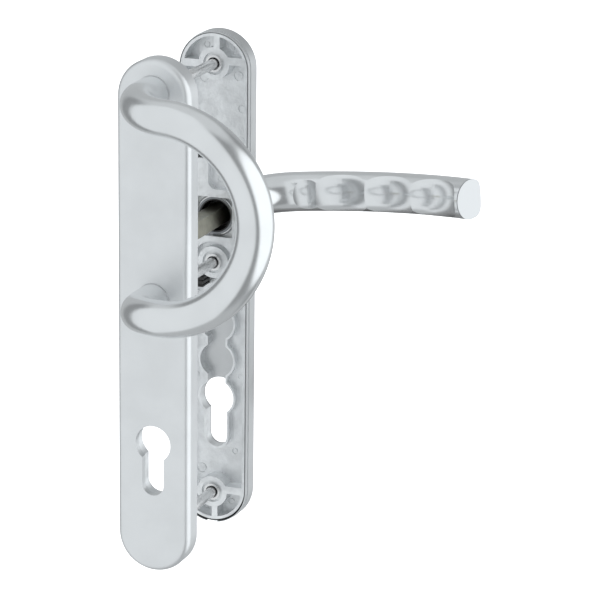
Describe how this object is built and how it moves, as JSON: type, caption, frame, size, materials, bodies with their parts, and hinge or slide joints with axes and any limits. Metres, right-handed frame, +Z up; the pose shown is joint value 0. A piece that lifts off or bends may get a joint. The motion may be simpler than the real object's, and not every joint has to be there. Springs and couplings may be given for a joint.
{
  "type": "door handle set",
  "caption": "Door handle set: long outer plate with a fixed bow pull, long inner plate with a sprung lever, profile cut-outs, through screws and a square spindle.",
  "frame": {"origin": "where the spindle's axis meets the door's outer face, on the outer base's hub boss", "axes": "+X to the side that the lever points to, +Y through the door from outside to inside, +Z up"},
  "size_m": [0.1346, 0.1818, 0.245],
  "materials": {
    "satin_aluminium": "satin silver anodised",
    "satin_sheet": "satin silver anodised sheet",
    "cast_zinc": "raw die-cast",
    "zinc_plated_steel": "zinc plated",
    "bright_steel": "bright",
    "spring_steel": "oiled",
    "chromated_steel": "olive chromated",
    "black_steel": "blackened",
    "black_plastic": "moulded",
    "grey_plastic": "moulded"
  },
  "bodies": {
    "plates": {"outer_cover": "satin_sheet", "outer_base": "cast_zinc", "threaded_posts": "zinc_plated_steel", "post_lock_washers": "zinc_plated_steel", "bow_handle": "satin_aluminium", "bow_neck_rings": "grey_plastic", "inner_cover": "satin_sheet", "inner_base": "cast_zinc", "screw_ferrules": "bright_steel", "through_screws": "zinc_plated_steel", "upper_spacer": "black_plastic", "lower_spacer": "black_plastic", "stop_pins": "bright_steel", "bearing_bush": "grey_plastic", "cover_guide_ring": "grey_plastic", "return_spring": "spring_steel"},
    "lever": {"lever_handle": "satin_aluminium", "stem_liner": "black_steel", "square_spindle": "chromated_steel", "return_driver": "spring_steel", "retaining_ring": "bright_steel", "grub_screw": "black_steel"}
  },
  "joints": [
    {"name": "lever_turn", "type": "hinge", "parent": "plates", "child": "lever", "pos_m": [0, 0.074, 0], "axis": [0, 1, 0], "range_deg": [-40, 50], "stiffness_Nm_per_rad": 1.2, "springref_deg": -3.04, "deforming": ["return_spring"]}
  ]
}
